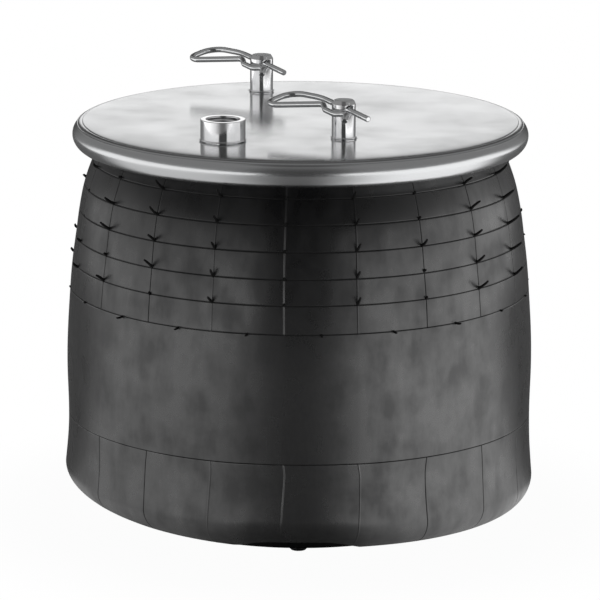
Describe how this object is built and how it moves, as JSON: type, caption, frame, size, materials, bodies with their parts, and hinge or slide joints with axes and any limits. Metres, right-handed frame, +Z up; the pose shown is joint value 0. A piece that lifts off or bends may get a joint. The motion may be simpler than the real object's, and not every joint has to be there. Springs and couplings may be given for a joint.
{
  "type": "air suspension spring",
  "caption": "Rolling-lobe truck air spring: rubber sleeve crimped in a rolled steel top plate, on a piston, with locating posts and R-clips.",
  "frame": {"origin": "on the floor under the middle of the spring, which is on the stroke axis", "axes": "+Z up along the stroke axis, towards the top plate; -Y is the side with the air port and the front post"},
  "size_m": [0.3216, 0.3216, 0.3035],
  "materials": {
    "plated_sheet": "bright zinc-plated pressed sheet",
    "turned_steel": "turned and bright plated",
    "spring_wire": "drawn and zinc-plated wire",
    "plain_steel": "plain steel",
    "sleeve_rubber": "vulcanised black rubber, satin",
    "moulded_nylon": "glass-filled nylon, matt black",
    "black_steel": "black coated steel",
    "brass_insert": "plain brass"
  },
  "bodies": {
    "piston_body": {"piston": "moulded_nylon", "piston_core": "moulded_nylon", "base_plate": "black_steel", "base_bolt_1": "black_steel", "base_bolt_2": "black_steel", "base_bolt_3": "black_steel", "base_bolt_4": "black_steel", "base_insert_1": "brass_insert", "base_insert_2": "brass_insert", "base_insert_3": "brass_insert", "base_insert_4": "brass_insert", "bead_clamp": "plain_steel", "bump_stop": "sleeve_rubber", "bump_stop_seat": "plain_steel", "centre_bolt": "plain_steel", "centre_washer": "plain_steel", "centre_nut": "plain_steel", "lower_bead_wire": "plain_steel", "bellows": "sleeve_rubber"},
    "plate_body": {"bead_plate": "plated_sheet", "air_inlet_boss": "turned_steel", "front_post": "turned_steel", "rear_post": "turned_steel", "upper_bead_wire": "plain_steel"},
    "front_clip_body": {"front_clip": "spring_wire"},
    "rear_clip_body": {"rear_clip": "spring_wire"}
  },
  "joints": [
    {"name": "stroke", "type": "slide", "parent": "piston_body", "child": "plate_body", "axis": [0, 0, 1], "range_m": [-0.0245, 0.18], "stiffness_N_per_m": 1500, "springref_m": 0.01694, "deforming": ["bellows"]},
    {"name": "front_clip_swivel", "type": "hinge", "parent": "plate_body", "child": "front_clip_body", "pos_m": [0.0287, -0.0694, 0.298], "axis": [0.4985, -0.8634, -0.0785], "range_deg": [-24, 4]},
    {"name": "rear_clip_swivel", "type": "hinge", "parent": "plate_body", "child": "rear_clip_body", "pos_m": [-0.0274, 0.1038, 0.298], "axis": [0.4985, -0.8634, -0.0785], "range_deg": [-24, 4]}
  ]
}
